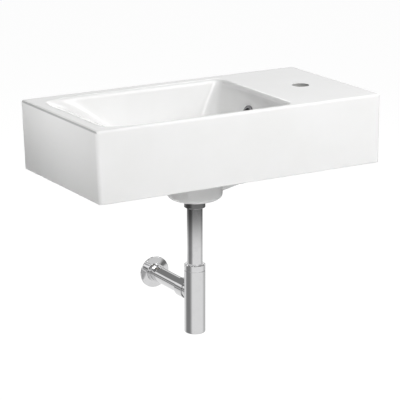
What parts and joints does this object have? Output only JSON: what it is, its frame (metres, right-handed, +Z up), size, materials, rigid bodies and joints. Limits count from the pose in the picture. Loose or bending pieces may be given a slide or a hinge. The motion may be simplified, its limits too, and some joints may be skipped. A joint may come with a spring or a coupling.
{
  "type": "wall hung basin",
  "caption": "Block-shaped wall hung ceramic basin with an offset bowl, a tap ledge, a click waste and a chromed bottle trap with a pipe to the wall.",
  "frame": {"origin": "on the wall plane, midway between the two wall fixing holes", "axes": "+X to the right when facing the wall, along the basin's length; the wall plane is y = 0 and the front looks towards -Y; +Z is up"},
  "size_m": [0.6498, 0.35, 0.493],
  "materials": {
    "glaze": "glossy white glaze",
    "chrome": "polished chrome plate",
    "brass": "plain turned brass",
    "spring_steel": "plain stainless steel",
    "rubber": "matt black rubber",
    "nylon": "matt white plastic"
  },
  "bodies": {
    "basin": {"basin_body": "glaze", "overflow_ring": "chrome", "waste_body": "chrome", "flange_seal": "rubber", "lower_seal": "rubber", "thrust_washer": "nylon", "waste_backnut": "brass", "cartridge_body": "brass", "plug_spring": "spring_steel", "tailpipe": "chrome"},
    "plug": {"plug_cap": "chrome", "plug_seal": "rubber", "plug_stem": "spring_steel"},
    "inlet_nut_lift": {"inlet_seal": "rubber"},
    "inlet_nut": {"inlet_nut": "chrome"},
    "trap_height": {"top_seal": "rubber"},
    "trap": {"trap_body": "chrome", "outlet_seal": "rubber"},
    "trap_nut_lift": {"top_slip_ring": "nylon"},
    "trap_nut": {"trap_top_nut": "chrome"},
    "outlet_nut_lift": {"outlet_slip_ring": "nylon"},
    "outlet_nut": {"outlet_nut": "chrome"},
    "outlet": {"outlet_pipe": "chrome"},
    "rosette": {"wall_rosette": "chrome", "rosette_oring": "rubber"},
    "cap_lift": {"clean_cap_oring": "rubber"},
    "cap": {"clean_cap": "chrome"}
  },
  "joints": [
    {"name": "plug_press", "type": "slide", "parent": "basin", "child": "plug", "axis": [0, 0, 1], "range_m": [-0.0076, 0], "stiffness_N_per_m": 1200, "springref_m": 0.004, "deforming": ["plug_spring"]},
    {"name": "inlet_nut_slide", "type": "slide", "parent": "basin", "child": "inlet_nut_lift", "axis": [0, 0, -1], "range_m": [0, 0.00923]},
    {"name": "inlet_nut_turn", "type": "hinge", "parent": "inlet_nut_lift", "child": "inlet_nut", "pos_m": [-0.021, -0.1695, -0.1], "axis": [0, 0, -1], "range_deg": [0, 1440]},
    {"name": "trap_height_slide", "type": "slide", "parent": "basin", "child": "trap_height", "axis": [0, 0, 1], "range_m": [-0.03, 0.015]},
    {"name": "trap_swivel", "type": "hinge", "parent": "trap_height", "child": "trap", "pos_m": [-0.021, -0.1695, -0.3], "axis": [0, 0, 1], "range_deg": [-90, 90]},
    {"name": "trap_nut_slide", "type": "slide", "parent": "trap", "child": "trap_nut_lift", "axis": [0, 0, 1], "range_m": [0, 0.00923]},
    {"name": "trap_nut_turn", "type": "hinge", "parent": "trap_nut_lift", "child": "trap_nut", "pos_m": [-0.021, -0.1695, -0.234], "axis": [0, 0, 1], "range_deg": [0, 1440]},
    {"name": "outlet_nut_slide", "type": "slide", "parent": "trap", "child": "outlet_nut_lift", "axis": [0, 1, 0], "range_m": [0, 0.00923]},
    {"name": "outlet_nut_turn", "type": "hinge", "parent": "outlet_nut_lift", "child": "outlet_nut", "pos_m": [-0.021, -0.13, -0.2915], "axis": [0, 1, 0], "range_deg": [0, 1440]},
    {"name": "outlet_depth_slide", "type": "slide", "parent": "trap", "child": "outlet", "axis": [0, 1, 0], "range_m": [-0.008, 0.015]},
    {"name": "rosette_slide", "type": "slide", "parent": "outlet", "child": "rosette", "axis": [0, -1, 0], "range_m": [0, 0.06]},
    {"name": "cap_slide", "type": "slide", "parent": "trap", "child": "cap_lift", "axis": [0, 0, -1], "range_m": [0, 0.00449]},
    {"name": "cap_turn", "type": "hinge", "parent": "cap_lift", "child": "cap", "pos_m": [-0.021, -0.1695, -0.37], "axis": [0, 0, -1], "range_deg": [0, 1080]}
  ],
  "couplings": [
    {"joint": "inlet_nut_turn", "follows": "inlet_nut_slide", "rad_per_m": 2721.2},
    {"joint": "trap_nut_turn", "follows": "trap_nut_slide", "rad_per_m": 2721.2},
    {"joint": "outlet_nut_turn", "follows": "outlet_nut_slide", "rad_per_m": 2721.2},
    {"joint": "cap_turn", "follows": "cap_slide", "rad_per_m": 4188.8}
  ]
}
